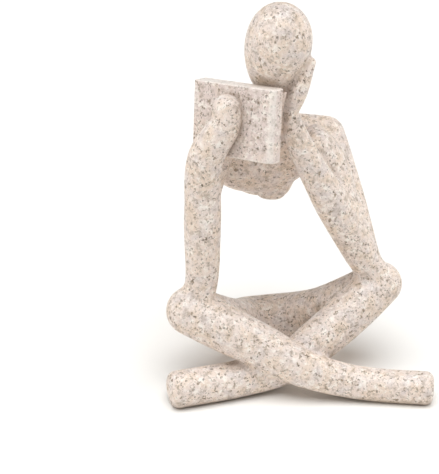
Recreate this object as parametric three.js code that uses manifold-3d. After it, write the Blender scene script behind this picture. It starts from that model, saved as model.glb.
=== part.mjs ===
// Small cast-resin figurine: a faceless figure sits cross-legged, reads a book
// and rests its cheek on one hand. Eight castings, glued over locating pins.
// Millimetres, +Z up. The figure faces -Y, and +X is its own left-hand side.

import * as THREE from "three";
import { mergeVertices } from "three/addons/utils/BufferGeometryUtils.js";
import Module from "manifold-3d";

const wasm = await Module();
wasm.setup();

// Fits
const GLUE_GAP = 0.3; // between two castings that are glued face to face
const PIN_CLEARANCE = 0.25; // round a pin in its socket
const PIN_END_CLEARANCE = 0.35; // between a pin's end and the bottom of its socket

// Pins: radius, and how far each reaches into either casting
const NECK_PIN_RADIUS = 1.2;
const NECK_PIN_DEPTH = 4.5;
const SHOULDER_PIN_RADIUS = 1.4;
const SHOULDER_PIN_DEPTH = 5;
const ELBOW_PIN_RADIUS = 1.4;
const ELBOW_PIN_DEPTH = 4.5;
const HIP_PIN_RADIUS = 1.6;
const HIP_PIN_DEPTH = 3.6;
const BOOK_PIN_RADIUS = 0.9;
const BOOK_PIN_DEPTH = 2.4;

// Seat and thighs
const BASE_CUT = 0.6; // depth of the flat that is ground under the seat and feet
const SEAT_RADIUS = 8.4;
const SEAT_WIDTH = 14; // between the two hip seams
const SEAT_BACK = 21; // how far the seat lies behind the drawing's own origin
const THIGH_RADIUS = 6.4; // half-way along
const RIGHT_THIGH_SAG = 1; // there, below a straight line from the knee to the seat
const LEFT_THIGH_SAG = 1.6;

// Knees
const KNEE_BACK = 1; // how far the knees lie behind the drawing's own origin
const RIGHT_KNEE_OUT = 28.8; // from the middle of the seat
const RIGHT_KNEE_HEIGHT = 25.5;
const RIGHT_KNEE_RADIUS = 7.4;
const LEFT_KNEE_OUT = 30.2;
const LEFT_KNEE_HEIGHT = 28.5;
const LEFT_KNEE_RADIUS = 6.8;

// Shins and feet
const CALF_RADIUS = 6.5;
const RIGHT_FOOT_RADIUS = 5;
const RIGHT_TOE_OUT = 37.4; // from the middle of the seat, on the left-hand side
const RIGHT_TOE_FORWARD = 23.6; // in front of the drawing's own origin
const LEFT_FOOT_RADIUS = 5.6;
const LEFT_TOE_OUT = 35; // from the middle of the seat, on the right-hand side
const LEFT_TOE_FORWARD = 10;
const TOE_EDGE = 2.4; // rounding of the blunt toes
const CROSSING_FRONT = new THREE.Vector3(1.5, -13.5, 10.8); // right shin, as it passes over
const CROSSING_BACK = new THREE.Vector3(-2, -7.5, 8.3); // left shin, as it passes under
const CROSSING_RADIUS = 5.7;
const RIGHT_FOOT_DROP = 2.2; // of the right foot below a straight line to its toes
const LEFT_SHIN_SAG = 1.2; // of the left shin and foot, likewise

// Torso and neck
const SHOULDER_SPAN = 33; // between the middles of the two shoulders
const SHOULDER_BACK = 17.5; // how far the shoulders lie behind the drawing's own origin
const SHOULDER_HEIGHT = 72;
const SHOULDER_RADIUS = 5.5;
const SHOULDER_SEAM_INSET = 5; // from a shoulder's middle to its seam
const SHOULDER_RISE = 1; // of the shoulder line's middle above its ends
const SHOULDER_HUNCH = 1.2; // and behind them
const SHOULDER_SWELL = 0.7; // how much thicker it is there
const THROAT_RISE = 2; // foot of the neck above the shoulders
const CHEST_HALF_WIDTH = 16;
const CHEST_HALF_DEPTH = 6.8;
const CHEST_LENGTH = 21; // from the throat down to the tip's middle
const CHEST_SLANT = 5; // how far the tip's middle lies behind the shoulders
const CHEST_TIP_RATIO = 0.3; // half width of the tip against the chest's
const NECK_RADIUS = 3.8;
const NECK_FLARE = 2.2; // how much wider the neck is at its foot
const NECK_SEAM = 0.52; // share of the way from the throat to the head's middle

// Arms
const UPPER_ARM_RADIUS = 5.1;
const FOREARM_RADIUS = 5.2;
const ELBOW_RADIUS = 4.9;
const RIGHT_ELBOW_RISE = 8; // an elbow's middle above the knee's
const RIGHT_ELBOW_INSET = 3.3; // and how far inside it
const LEFT_ELBOW_RISE = 7;
const LEFT_ELBOW_INSET = 4.6;
const ELBOW_SEAT = 0.5; // share of the way to the knee where an arm ends
const WRIST_HALF_WIDTH = 2.1; // of the hand on the cheek
const PALM_HALF_WIDTH = 3.8;
const RIGHT_ARM_BOW = 2.9; // how far the right upper arm bows outwards
const WRIST_FROM_FIST = 5.5; // how much further from the spine the right wrist lies
const FOREARM_SAG = 1.6; // of the left forearm below a straight line to its wrist
const FOREARM_BOW = 1.3; // and towards the chest
const FOLD_HALF_THICKNESS = 5; // of the web between the left forearm and upper arm
const FOLD_OVERLAP = 4; // how far the web's foot reaches past the two limbs' middles
const FOLD_CREASE = 3.2; // how far the web stays off the forearm's middle, below the shoulder
const FOLD_STOP = 7.2; // how far short of the shoulder's middle the web ends
const FIST_RADIUS = 4.4; // of the hand on the book
const FIST_FROM_SPINE = 14.1; // along the cover
const FIST_ABOVE_FOOT = 10; // up the cover
const FIST_LENGTH = 4;
const FIST_SINK = 2; // how deep the book sits in the fist

// Head
const HEAD_HALF_LENGTH = 14;
const HEAD_RADIUS = 9.5;
const HEAD_DEPTH_RATIO = 1.12; // front to back against side to side
const HEAD_SWELL = 0.15; // how much fuller the crown is than the chin
const HEAD_CENTRE = new THREE.Vector3(-2.6, 4.8, 103);
const HEAD_TILT = THREE.MathUtils.degToRad(7); // to its own left
const HEAD_PITCH = THREE.MathUtils.degToRad(12); // forward

// Book
const BOOK_WIDTH = 26.6;
const BOOK_HEIGHT = 20.7;
const BOOK_THICKNESS = 5.6;
const BOOK_SPINE_RADIUS = 1.6;
const BOOK_TURN = THREE.MathUtils.degToRad(-46);
const BOOK_LEAN = THREE.MathUtils.degToRad(9);
const BOOK_ROLL = THREE.MathUtils.degToRad(3.5);
const BOOK_FOOT = new THREE.Vector3(-8.1, -12.5, 75.8); // foot of the spine, cover side

// Facets
const LIMB_SIDES = 16;
const RINGS_PER_SPAN = 3; // between two stations of a limb
const CAP_RINGS = 3;
const HEAD_SIDES = 28;
const HEAD_RINGS = 16;
const PIN_SIDES = 16;
const ARC_STEPS = 5;

// Colours of the castings and of the pins
const STONE = new THREE.MeshStandardMaterial({ color: 0xd9cbbd, roughness: 0.75, metalness: 0 });
const BOOK_STONE = new THREE.MeshStandardMaterial({ color: 0xdccdc6, roughness: 0.7, metalness: 0 });
const STEEL = new THREE.MeshStandardMaterial({ color: 0x9c9c98, roughness: 0.4, metalness: 1 });

const RIGHTWARD = new THREE.Vector3(1, 0, 0);
const UP = new THREE.Vector3(0, 0, 1);

// One cross-section of a limb: its middle and its two half axes.
function station(middle, across, deep = across) {
  return { middle, across, deep };
}

function at(x, y, z) {
  return new THREE.Vector3(x, y, z);
}

// Point at a share of the way from one point to another, moved by an offset.
function between(from, to, share, offset = at(0, 0, 0)) {
  return from.clone().lerp(to, share).add(offset);
}

// Closed geometry over a run of rings, each end shut by a fan.
function skin(rings) {
  const sides = rings[0].length;
  const points = rings.flat();
  const lastRing = (rings.length - 1) * sides;
  for (const ring of [rings[0], rings[rings.length - 1]]) {
    points.push(ring.reduce((sum, p) => sum.add(p), at(0, 0, 0)).divideScalar(sides));
  }
  const index = [];
  for (let k = 0; k < sides; k += 1) {
    const next = (k + 1) % sides;
    for (let start = 0; start < lastRing; start += sides) {
      index.push(start + k, start + next, start + sides + next);
      index.push(start + k, start + sides + next, start + sides + k);
    }
    index.push(points.length - 2, next, k);
    index.push(points.length - 1, lastRing + k, lastRing + next);
  }
  const geometry = new THREE.BufferGeometry().setFromPoints(points);
  geometry.setIndex(index);
  return geometry;
}

// Body swept through the stations, with rounded ends. The hint lies along the
// "across" half axis. An edge radius makes the far end blunt, and growing
// moves the whole surface outwards.
function limb(stations, { hint = RIGHTWARD, grow = 0, farEdge = Infinity } = {}) {
  const line = new THREE.CatmullRomCurve3(stations.map((s) => s.middle), false, "centripetal");
  const halves = stations.map((s) => at(s.across, s.deep, 0));
  const sizes = new THREE.CatmullRomCurve3(halves, false, "catmullrom", 0.5);
  const ringAt = (share, slide, shrink) => {
    const along = line.getTangent(share);
    const across = hint.clone().addScaledVector(along, -hint.dot(along)).normalize();
    const deep = along.clone().cross(across);
    const size = sizes.getPoint(share);
    const middle = line.getPoint(share).addScaledVector(along, slide);
    return Array.from({ length: LIMB_SIDES }, (_, k) => {
      const turn = (2 * Math.PI * k) / LIMB_SIDES;
      return middle
        .clone()
        .addScaledVector(across, (size.x + grow - shrink) * Math.cos(turn))
        .addScaledVector(deep, (size.y + grow - shrink) * Math.sin(turn));
    });
  };
  const cap = (share, edge, way) => {
    const size = sizes.getPoint(share);
    const radius = Math.min(edge, 0.97 * Math.min(size.x, size.y)) + grow;
    return Array.from({ length: CAP_RINGS }, (_, k) => {
      const lift = ((k + 1) / CAP_RINGS) * (Math.PI / 2);
      return ringAt(share, way * radius * Math.sin(lift), radius * (1 - Math.cos(lift)));
    });
  };
  const steps = (stations.length - 1) * RINGS_PER_SPAN;
  const body = Array.from({ length: steps + 1 }, (_, k) => ringAt(k / steps, 0, 0));
  return solid(skin([...cap(0, Infinity, -1).reverse(), ...body, ...cap(1, farEdge, 1)]));
}

// three.js geometry to a solid that can be cut and joined, and back.
function solid(geometry) {
  const bare = geometry.clone();
  bare.deleteAttribute("normal");
  bare.deleteAttribute("uv");
  const merged = mergeVertices(bare);
  const mesh = new wasm.Mesh({
    numProp: 3,
    vertProperties: new Float32Array(merged.attributes.position.array),
    triVerts: new Uint32Array(merged.index.array),
  });
  return new wasm.Manifold(mesh);
}

function geometryOf(body) {
  const mesh = body.getMesh();
  const geometry = new THREE.BufferGeometry();
  geometry.setAttribute("position", new THREE.BufferAttribute(mesh.vertProperties, 3));
  geometry.setIndex(new THREE.BufferAttribute(mesh.triVerts, 1));
  geometry.computeVertexNormals();
  return geometry;
}

// Locating pin about a point on a seam, and the socket it needs on both sides.
function pinAt(middle, direction, radius, depth) {
  const turn = new THREE.Quaternion().setFromUnitVectors(at(0, 1, 0), direction.clone().normalize());
  const rod = (r, half) => {
    const upright = new THREE.CylinderGeometry(r, r, 2 * half, PIN_SIDES);
    return upright.applyQuaternion(turn).translate(...middle.toArray());
  };
  return {
    rod: rod(radius, depth),
    socket: solid(rod(radius + PIN_CLEARANCE, depth + PIN_END_CLEARANCE)),
  };
}

function joined(bodies) {
  return bodies.reduce((sum, body) => sum.add(body));
}

function cut(body, ...tools) {
  return tools.reduce((rest, tool) => rest.subtract(tool), body);
}

// What lies beyond a seam square to X, on the side that the sign names.
function beyond(body, seam, sign) {
  return body.trimByPlane([sign, 0, 0], sign * seam + GLUE_GAP / 2);
}

// What lies between two such seams.
function amid(body, low, high) {
  return beyond(beyond(body, low, 1), high, -1);
}

// Stands a body on the flat that is ground under it.
function onTheTable(body) {
  return body.trimByPlane([0, 0, 1], BASE_CUT);
}

// Joints of the figure
const seat = at(0, SEAT_BACK, SEAT_RADIUS);
const rightKnee = at(-RIGHT_KNEE_OUT, KNEE_BACK, RIGHT_KNEE_HEIGHT);
const leftKnee = at(LEFT_KNEE_OUT, KNEE_BACK, LEFT_KNEE_HEIGHT);
const rightElbow = rightKnee.clone().add(at(RIGHT_ELBOW_INSET, 0, RIGHT_ELBOW_RISE));
const leftElbow = leftKnee.clone().add(at(-LEFT_ELBOW_INSET, 0, LEFT_ELBOW_RISE));
const rightArmEnd = between(rightElbow, rightKnee, ELBOW_SEAT);
const leftArmEnd = between(leftElbow, leftKnee, ELBOW_SEAT);
const rightShoulder = at(-SHOULDER_SPAN / 2, SHOULDER_BACK, SHOULDER_HEIGHT);
const leftShoulder = at(SHOULDER_SPAN / 2, SHOULDER_BACK, SHOULDER_HEIGHT);
const rightToe = at(RIGHT_TOE_OUT, -RIGHT_TOE_FORWARD, RIGHT_FOOT_RADIUS);
const leftToe = at(-LEFT_TOE_OUT, -LEFT_TOE_FORWARD, LEFT_FOOT_RADIUS);

const rightHip = seat.x - SEAT_WIDTH / 2;
const leftHip = seat.x + SEAT_WIDTH / 2;

// The thighs run through the seat, and all three are sawn at the hips.
const rightThigh = [
  station(rightKnee, RIGHT_KNEE_RADIUS),
  station(between(rightKnee, seat, 0.5, at(0, 0, -RIGHT_THIGH_SAG)), THIGH_RADIUS),
  station(at(rightHip, seat.y, seat.z), SEAT_RADIUS),
];
const leftThigh = [
  station(leftKnee, LEFT_KNEE_RADIUS),
  station(between(leftKnee, seat, 0.5, at(0, 0, -LEFT_THIGH_SAG)), THIGH_RADIUS),
  station(at(leftHip, seat.y, seat.z), SEAT_RADIUS),
];
const haunch = [
  station(at(rightHip, seat.y, seat.z), SEAT_RADIUS),
  station(seat, SEAT_RADIUS),
  station(at(leftHip, seat.y, seat.z), SEAT_RADIUS),
];
const rightShin = [
  station(rightKnee, RIGHT_KNEE_RADIUS),
  station(between(rightKnee, CROSSING_FRONT, 0.36, at(0, -1, 0.4)), CALF_RADIUS + 0.5),
  station(between(rightKnee, CROSSING_FRONT, 0.7, at(0, -0.3, 0.4)), CALF_RADIUS),
  station(CROSSING_FRONT, CROSSING_RADIUS),
  station(between(CROSSING_FRONT, rightToe, 0.35, at(0, 0.6, -RIGHT_FOOT_DROP)), 1.02 * RIGHT_FOOT_RADIUS),
  station(between(CROSSING_FRONT, rightToe, 0.65, at(0, 0.6, -0.86 * RIGHT_FOOT_DROP)), RIGHT_FOOT_RADIUS),
  station(rightToe, RIGHT_FOOT_RADIUS),
];
const leftShin = [
  station(leftKnee, LEFT_KNEE_RADIUS),
  station(between(leftKnee, CROSSING_BACK, 0.32, at(0, -0.5, -0.75 * LEFT_SHIN_SAG)), CALF_RADIUS + 0.3),
  station(between(leftKnee, CROSSING_BACK, 0.66, at(0, -0.5, -0.8 * LEFT_SHIN_SAG)), CALF_RADIUS),
  station(CROSSING_BACK, CROSSING_RADIUS),
  station(between(CROSSING_BACK, leftToe, 0.4, at(0, 0.3, -LEFT_SHIN_SAG)), LEFT_FOOT_RADIUS),
  station(leftToe, LEFT_FOOT_RADIUS),
];

function thighsAndSeat(grow = 0) {
  return joined([rightThigh, haunch, leftThigh].map((stations) => limb(stations, { hint: UP, grow })));
}

function rightLegBody(grow = 0) {
  const thigh = beyond(thighsAndSeat(grow), rightHip, -1);
  return thigh.add(limb(rightShin, { hint: UP, grow, farEdge: TOE_EDGE }));
}

function leftLegBody(grow = 0) {
  const thigh = beyond(thighsAndSeat(grow), leftHip, 1);
  return thigh.add(limb(leftShin, { hint: UP, grow, farEdge: TOE_EDGE }));
}

const seatBody = amid(thighsAndSeat(), rightHip, leftHip);

// Shoulders, chest and neck, and the upper arms that leave them at the seams
const nape = between(rightShoulder, leftShoulder, 0.5, at(0, SHOULDER_HUNCH, SHOULDER_RISE));
const shoulderLine = [
  station(rightShoulder, SHOULDER_RADIUS),
  station(nape, SHOULDER_RADIUS + SHOULDER_SWELL),
  station(leftShoulder, SHOULDER_RADIUS),
];
const throat = between(rightShoulder, leftShoulder, 0.5, at(0, 0, THROAT_RISE));
const chestTip = throat.clone().add(at(1, CHEST_SLANT, -CHEST_LENGTH));
const chestAt = (share, offset, width, depth) =>
  station(between(throat, chestTip, share, offset), width * CHEST_HALF_WIDTH, depth * CHEST_HALF_DEPTH);
const chest = [
  chestAt(0.05, at(0, 0, 0), 0.94, 0.9),
  chestAt(0.34, at(-0.6, 0, 0), 1, 1),
  chestAt(0.62, at(-0.9, 0, 0), 1.02, 0.98),
  chestAt(0.8, at(-0.3, 0, 0), 0.65, 0.8),
  chestAt(0.92, at(0.3, 0, 0), 1.2 * CHEST_TIP_RATIO, 0.8),
  chestAt(1, at(0, 0, 0), CHEST_TIP_RATIO, 0.46),
];
const neck = [
  station(throat, NECK_RADIUS + NECK_FLARE),
  station(between(throat, HEAD_CENTRE, 0.22), NECK_RADIUS + 0.27 * NECK_FLARE),
  station(between(throat, HEAD_CENTRE, 0.45), NECK_RADIUS),
  station(between(throat, HEAD_CENTRE, 0.75), NECK_RADIUS),
];
const rightUpperArm = [
  station(rightShoulder, SHOULDER_RADIUS),
  station(between(rightShoulder, rightElbow, 0.4, at(-RIGHT_ARM_BOW, 0, 0)), UPPER_ARM_RADIUS),
  station(rightElbow, ELBOW_RADIUS),
  station(rightArmEnd, ELBOW_RADIUS),
];
const leftUpperArm = [
  station(leftShoulder, SHOULDER_RADIUS),
  station(between(leftShoulder, leftElbow, 0.5, at(0, 0, 1)), UPPER_ARM_RADIUS),
  station(leftElbow, ELBOW_RADIUS),
  station(leftArmEnd, ELBOW_RADIUS),
];

// Book: a closed slab with a rounded spine, drawn from the foot of the spine
const bookPlace = new THREE.Matrix4()
  .makeTranslation(BOOK_FOOT.x, BOOK_FOOT.y, BOOK_FOOT.z)
  .multiply(new THREE.Matrix4().makeRotationZ(BOOK_TURN))
  .multiply(new THREE.Matrix4().makeRotationX(-BOOK_LEAN))
  .multiply(new THREE.Matrix4().makeRotationY(-BOOK_ROLL));
const coverNormal = at(0, -1, 0).transformDirection(bookPlace);

function bookBody(grow = 0) {
  const left = -BOOK_WIDTH - grow;
  const front = -grow;
  const back = BOOK_THICKNESS + grow;
  const spine = BOOK_SPINE_RADIUS + grow;
  const outline = new THREE.Shape();
  outline.moveTo(left, front);
  outline.lineTo(-BOOK_SPINE_RADIUS, front);
  outline.absarc(-BOOK_SPINE_RADIUS, BOOK_SPINE_RADIUS, spine, -Math.PI / 2, 0, false);
  outline.absarc(-BOOK_SPINE_RADIUS, BOOK_THICKNESS - BOOK_SPINE_RADIUS, spine, 0, Math.PI / 2, false);
  outline.lineTo(left, back);
  outline.closePath();
  const slab = new THREE.ExtrudeGeometry(outline, {
    depth: BOOK_HEIGHT + 2 * grow,
    bevelEnabled: false,
    curveSegments: ARC_STEPS,
  });
  return solid(slab.translate(0, 0, -grow).applyMatrix4(bookPlace));
}

// Point on the cover: from the spine, in front of the cover and above its foot.
function onCover(fromSpine, inFront, aboveFoot) {
  return at(-fromSpine, -inFront, aboveFoot).applyMatrix4(bookPlace);
}

// Right forearm and the fist in front of the cover
const fistStandoff = FIST_RADIUS - FIST_SINK;
const fist = onCover(FIST_FROM_SPINE, fistStandoff, FIST_ABOVE_FOOT);
const fistTip = onCover(FIST_FROM_SPINE, 0.9 * fistStandoff, FIST_ABOVE_FOOT + FIST_LENGTH);
const rightWrist = onCover(FIST_FROM_SPINE + WRIST_FROM_FIST, 0.65 * FOREARM_RADIUS, -0.6);
const rightForearm = [
  station(rightArmEnd, ELBOW_RADIUS),
  station(rightElbow, ELBOW_RADIUS),
  station(between(rightElbow, rightWrist, 0.45), FOREARM_RADIUS),
  station(rightWrist, FOREARM_RADIUS),
  station(fist, FIST_RADIUS),
  station(fistTip, 0.82 * FIST_RADIUS),
];

// Left forearm and the flat hand that holds the cheek
function onCheek(x, y, z) {
  return at(x * HEAD_RADIUS, y * HEAD_RADIUS, z * HEAD_HALF_LENGTH).add(HEAD_CENTRE);
}
const leftWrist = onCheek(0.24, -0.72, -1.14);
const palm = onCheek(0.5, -0.64, -0.7);
const leftFingers = onCheek(0.88, -0.46, -0.24);
const forearmAt = (share, bow, sag, girth) => {
  const offset = at(-bow * FOREARM_BOW, 0, -sag * FOREARM_SAG);
  return station(between(leftElbow, leftWrist, share, offset), girth * FOREARM_RADIUS);
};
const leftForearm = [
  station(leftArmEnd, ELBOW_RADIUS),
  station(leftElbow, ELBOW_RADIUS),
  forearmAt(0.42, 0.3, 1, 1),
  forearmAt(0.6, 0.7, 0.95, 0.88),
  forearmAt(0.74, 1, 0.75, 0.77),
  forearmAt(0.9, 0.8, 0.5, 0.64),
  station(leftWrist, WRIST_HALF_WIDTH, 0.8 * PALM_HALF_WIDTH),
];
const leftHand = [
  station(leftWrist, WRIST_HALF_WIDTH, 0.8 * PALM_HALF_WIDTH),
  station(palm, 1.15 * WRIST_HALF_WIDTH, PALM_HALF_WIDTH),
  station(leftFingers, 0.6 * WRIST_HALF_WIDTH, 0.8 * PALM_HALF_WIDTH),
];

// The left forearm and upper arm lie close together and are webbed to each
// other from the elbow to the front of the shoulder, in front of its pin.
const foldRise = (leftShoulder.z - leftElbow.z) / (leftWrist.z - leftElbow.z);
const foldSides = (share) => [
  between(leftElbow, leftShoulder, share),
  between(leftElbow, leftWrist, share * foldRise),
];
const [foldBack, foldFront] = foldSides(1);
const foldAcross = foldBack.clone().sub(foldFront).normalize();
const foldAt = (share, offUpperArm, offForearm, thickness = FOLD_HALF_THICKNESS) => {
  const [upper, fore] = foldSides(share);
  const back = upper.clone().addScaledVector(foldAcross, -offUpperArm);
  const front = fore.clone().addScaledVector(foldAcross, offForearm);
  return station(between(back, front, 0.5), back.distanceTo(front) / 2, thickness);
};
const leftFold = [
  foldAt(0.12, -FOLD_OVERLAP, -FOLD_OVERLAP),
  foldAt(0.4, -0.6 * FOLD_OVERLAP, -0.6 * FOLD_OVERLAP),
  foldAt(0.6, -0.25 * FOLD_OVERLAP, -0.25 * FOLD_OVERLAP),
  foldAt(0.73, -0.1 * FOLD_OVERLAP, 0.75 * FOLD_CREASE),
  foldAt(0.87, 0, FOLD_CREASE),
  foldAt(1.05, FOLD_STOP, 0.8 * FOLD_CREASE, 0.8 * FOLD_HALF_THICKNESS),
];

function foldBody(grow = 0) {
  return limb(leftFold, { hint: foldAcross, grow });
}

// Head: an egg, chin down, turned about its own middle
const headPlace = new THREE.Matrix4()
  .makeTranslation(HEAD_CENTRE.x, HEAD_CENTRE.y, HEAD_CENTRE.z)
  .multiply(new THREE.Matrix4().makeRotationY(HEAD_TILT))
  .multiply(new THREE.Matrix4().makeRotationX(HEAD_PITCH))
  .multiply(new THREE.Matrix4().makeScale(1, HEAD_DEPTH_RATIO, 1))
  .multiply(new THREE.Matrix4().makeRotationX(Math.PI / 2));

function headBody(grow = 0) {
  const profile = Array.from({ length: HEAD_RINGS + 1 }, (_, k) => {
    const turn = (Math.PI * k) / HEAD_RINGS;
    const swell = 1 - HEAD_SWELL * (Math.cos(turn) + 0.2);
    const radius = (HEAD_RADIUS + grow) * Math.sin(turn) * swell;
    const height = -Math.cos(turn) * (HEAD_HALF_LENGTH + grow);
    return new THREE.Vector2(k % HEAD_RINGS === 0 ? 0 : radius, height);
  });
  return solid(new THREE.LatheGeometry(profile, HEAD_SIDES).applyMatrix4(headPlace));
}

// Pins
const neckSeam = between(throat, HEAD_CENTRE, NECK_SEAM);
const neckPin = pinAt(neckSeam, HEAD_CENTRE.clone().sub(throat), NECK_PIN_RADIUS, NECK_PIN_DEPTH);
const rightSeam = rightShoulder.x + SHOULDER_SEAM_INSET;
const leftSeam = leftShoulder.x - SHOULDER_SEAM_INSET;
const shoulderPin = (x) =>
  pinAt(at(x, SHOULDER_BACK, SHOULDER_HEIGHT), RIGHTWARD, SHOULDER_PIN_RADIUS, SHOULDER_PIN_DEPTH);
const elbowPin = (elbow, knee) =>
  pinAt(between(elbow, knee, 0.25), elbow.clone().sub(knee), ELBOW_PIN_RADIUS, ELBOW_PIN_DEPTH);
const hipPin = (x) => pinAt(at(x, seat.y, seat.z), RIGHTWARD, HIP_PIN_RADIUS, HIP_PIN_DEPTH);
const bookSeam = onCover(FIST_FROM_SPINE, GLUE_GAP / 2, FIST_ABOVE_FOOT);
const bookPin = pinAt(bookSeam, coverNormal, BOOK_PIN_RADIUS, BOOK_PIN_DEPTH);
const rightShoulderPin = shoulderPin(rightSeam);
const leftShoulderPin = shoulderPin(leftSeam);
const rightElbowPin = elbowPin(rightElbow, rightKnee);
const leftElbowPin = elbowPin(leftElbow, leftKnee);
const rightHipPin = hipPin(rightHip);
const leftHipPin = hipPin(leftHip);

// Castings. Where two meet, one keeps its whole surface and the other is
// hollowed to fit round it, a glue gap away.
const gapHead = headBody(GLUE_GAP);
const gapBook = bookBody(GLUE_GAP);
const gapRightLeg = rightLegBody(GLUE_GAP);
const gapLeftLeg = leftLegBody(GLUE_GAP);
const gapFold = foldBody(GLUE_GAP);
const trunk = joined([limb(shoulderLine, { hint: UP }), limb(chest), limb(neck)]);
const rightSleeve = beyond(joined([trunk, limb(rightUpperArm)]), rightSeam, -1);
const leftSleeve = beyond(joined([trunk, limb(leftUpperArm)]), leftSeam, 1);
const rightArmBody = joined([rightSleeve, limb(rightForearm)]);
const leftArmBody = joined([leftSleeve, limb(leftForearm), limb(leftHand), foldBody()]);
const torsoBody = amid(trunk, rightSeam, leftSeam);

const castings = {
  head: cut(headBody(), neckPin.socket),
  torso: cut(
    torsoBody,
    gapHead,
    gapFold,
    neckPin.socket,
    rightShoulderPin.socket,
    leftShoulderPin.socket,
  ),
  right_arm: cut(
    rightArmBody,
    gapBook,
    gapRightLeg,
    bookPin.socket,
    rightShoulderPin.socket,
    rightElbowPin.socket,
  ),
  left_arm: cut(leftArmBody, gapBook, gapHead, gapLeftLeg, leftShoulderPin.socket, leftElbowPin.socket),
  right_leg: onTheTable(cut(rightLegBody(), gapLeftLeg, rightElbowPin.socket, rightHipPin.socket)),
  left_leg: onTheTable(cut(leftLegBody(), leftElbowPin.socket, leftHipPin.socket)),
  seat: onTheTable(cut(seatBody, rightHipPin.socket, leftHipPin.socket)),
};
const pins = {
  neck_pin: neckPin,
  right_shoulder_pin: rightShoulderPin,
  left_shoulder_pin: leftShoulderPin,
  right_elbow_pin: rightElbowPin,
  left_elbow_pin: leftElbowPin,
  right_hip_pin: rightHipPin,
  left_hip_pin: leftHipPin,
  book_pin: bookPin,
};

const figurine = new THREE.Group();

function addNode(name, geometry, material) {
  const mesh = new THREE.Mesh(geometry, material);
  mesh.name = name;
  figurine.add(mesh);
}

for (const [name, body] of Object.entries(castings)) {
  addNode(name, geometryOf(body), STONE);
}
addNode("book", geometryOf(cut(bookBody(), bookPin.socket)), BOOK_STONE);
for (const [name, pin] of Object.entries(pins)) {
  addNode(name, pin.rod, STEEL);
}

// The origin is the middle of the footprint, on the table.
const box = new THREE.Box3().setFromObject(figurine, true);
figurine.position.set(-(box.min.x + box.max.x) / 2, -(box.min.y + box.max.y) / 2, -box.min.z);

export default figurine;
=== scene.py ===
"""Looks of a small speckled stone figurine that reads a book, over its packed castings.

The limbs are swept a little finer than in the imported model, fused into one smooth
skin, and cut apart again along the seams of the castings, so that every casting
stays a piece of its own and no seam shows. Shapes are drawn in millimetres.
"""

import math

import bmesh
import bpy
import numpy as np
from bpy.props import (
    FloatProperty,
    FloatVectorProperty,
    IntProperty,
    PointerProperty,
)
from mathutils import Matrix, Vector
from mathutils.bvhtree import BVHTree


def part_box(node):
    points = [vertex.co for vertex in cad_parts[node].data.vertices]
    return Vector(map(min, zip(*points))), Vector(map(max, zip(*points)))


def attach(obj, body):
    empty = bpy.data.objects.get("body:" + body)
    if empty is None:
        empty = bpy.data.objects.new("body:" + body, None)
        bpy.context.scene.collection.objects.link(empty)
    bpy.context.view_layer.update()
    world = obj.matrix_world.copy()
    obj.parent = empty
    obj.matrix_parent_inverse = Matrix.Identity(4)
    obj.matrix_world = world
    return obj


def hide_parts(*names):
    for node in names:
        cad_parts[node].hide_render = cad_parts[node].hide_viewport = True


bl_info = {
    "name": "Reading Figurine",
    "version": (1, 0, 0),
    "blender": (4, 5, 0),
    "location": "View3D > Sidebar > Figurine",
    "description": "Dresses the castings of a small speckled stone figurine",
    "category": "Object",
}

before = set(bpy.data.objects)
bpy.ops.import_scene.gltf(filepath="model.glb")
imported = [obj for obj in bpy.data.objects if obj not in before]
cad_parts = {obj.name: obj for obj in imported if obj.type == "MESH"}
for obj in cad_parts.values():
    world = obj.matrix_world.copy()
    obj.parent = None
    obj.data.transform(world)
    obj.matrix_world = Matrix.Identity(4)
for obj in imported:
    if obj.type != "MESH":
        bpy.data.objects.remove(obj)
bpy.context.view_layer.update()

MM = 0.001
BODY = "root"
PINS = sorted(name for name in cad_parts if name.endswith("_pin"))
RIGHTWARD = (1.0, 0.0, 0.0)
UPWARD = (0.0, 0.0, 1.0)

# Seat and legs: places and sizes in millimetres, as the castings are drawn
SEAT_RADIUS = 8.4
SEAT_HALF_WIDTH = 7.0
SEAT = (0.0, 21.0, SEAT_RADIUS)
BASE_CUT = 0.6
THIGH_RADIUS = 6.4
RIGHT_KNEE = (-28.8, 1.0, 25.5)
RIGHT_KNEE_RADIUS = 7.4
LEFT_KNEE = (30.2, 1.0, 28.5)
LEFT_KNEE_RADIUS = 6.8
CALF_RADIUS = 6.5
CROSSING_FRONT = (1.5, -13.5, 10.8)
CROSSING_BACK = (-2.0, -7.5, 8.3)
CROSSING_RADIUS = 5.7
RIGHT_FOOT_RADIUS = 5.0
RIGHT_TOE = (37.4, -23.6, RIGHT_FOOT_RADIUS)
LEFT_FOOT_RADIUS = 5.6
LEFT_TOE = (-35.0, -10.0, LEFT_FOOT_RADIUS)
TOE_EDGE = 2.4

# Shoulders, chest and neck
RIGHT_SHOULDER = (-16.5, 17.5, 72.0)
LEFT_SHOULDER = (16.5, 17.5, 72.0)
SHOULDER_RADIUS = 5.5
SHOULDER_SWELL = 0.7
SHOULDER_SEAM = 11.5
THROAT = (0.0, 17.5, 74.0)
CHEST_TIP = (1.0, 22.5, 53.0)
CHEST_HALF_WIDTH = 16.0
CHEST_HALF_DEPTH = 6.8
NECK_RADIUS = 3.8

# Arms and hands
RIGHT_ELBOW = (-25.5, 1.0, 33.5)
LEFT_ELBOW = (25.6, 1.0, 35.5)
ELBOW_RADIUS = 4.9
UPPER_ARM_RADIUS = 5.1
FOREARM_RADIUS = 5.2
FIST_FROM_SPINE = 14.1
FIST_ABOVE_FOOT = 10.0
FIST_STANDOFF = 2.4
FIST_RADIUS = 4.4
FIST_LENGTH = 4.4
FIST_TIP_RADIUS = 4.0
WRIST_FROM_FIST = 5.5
WRIST_HALF_WIDTH = 2.1
WRIST_HALF_DEPTH = 3.04

# The web between the left forearm and upper arm
FOLD_HALF_THICKNESS = 5.0
FOLD_CREASE = 3.2
FOLD_OVERLAP = 4.0
FOLD_STOP = 7.2

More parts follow.
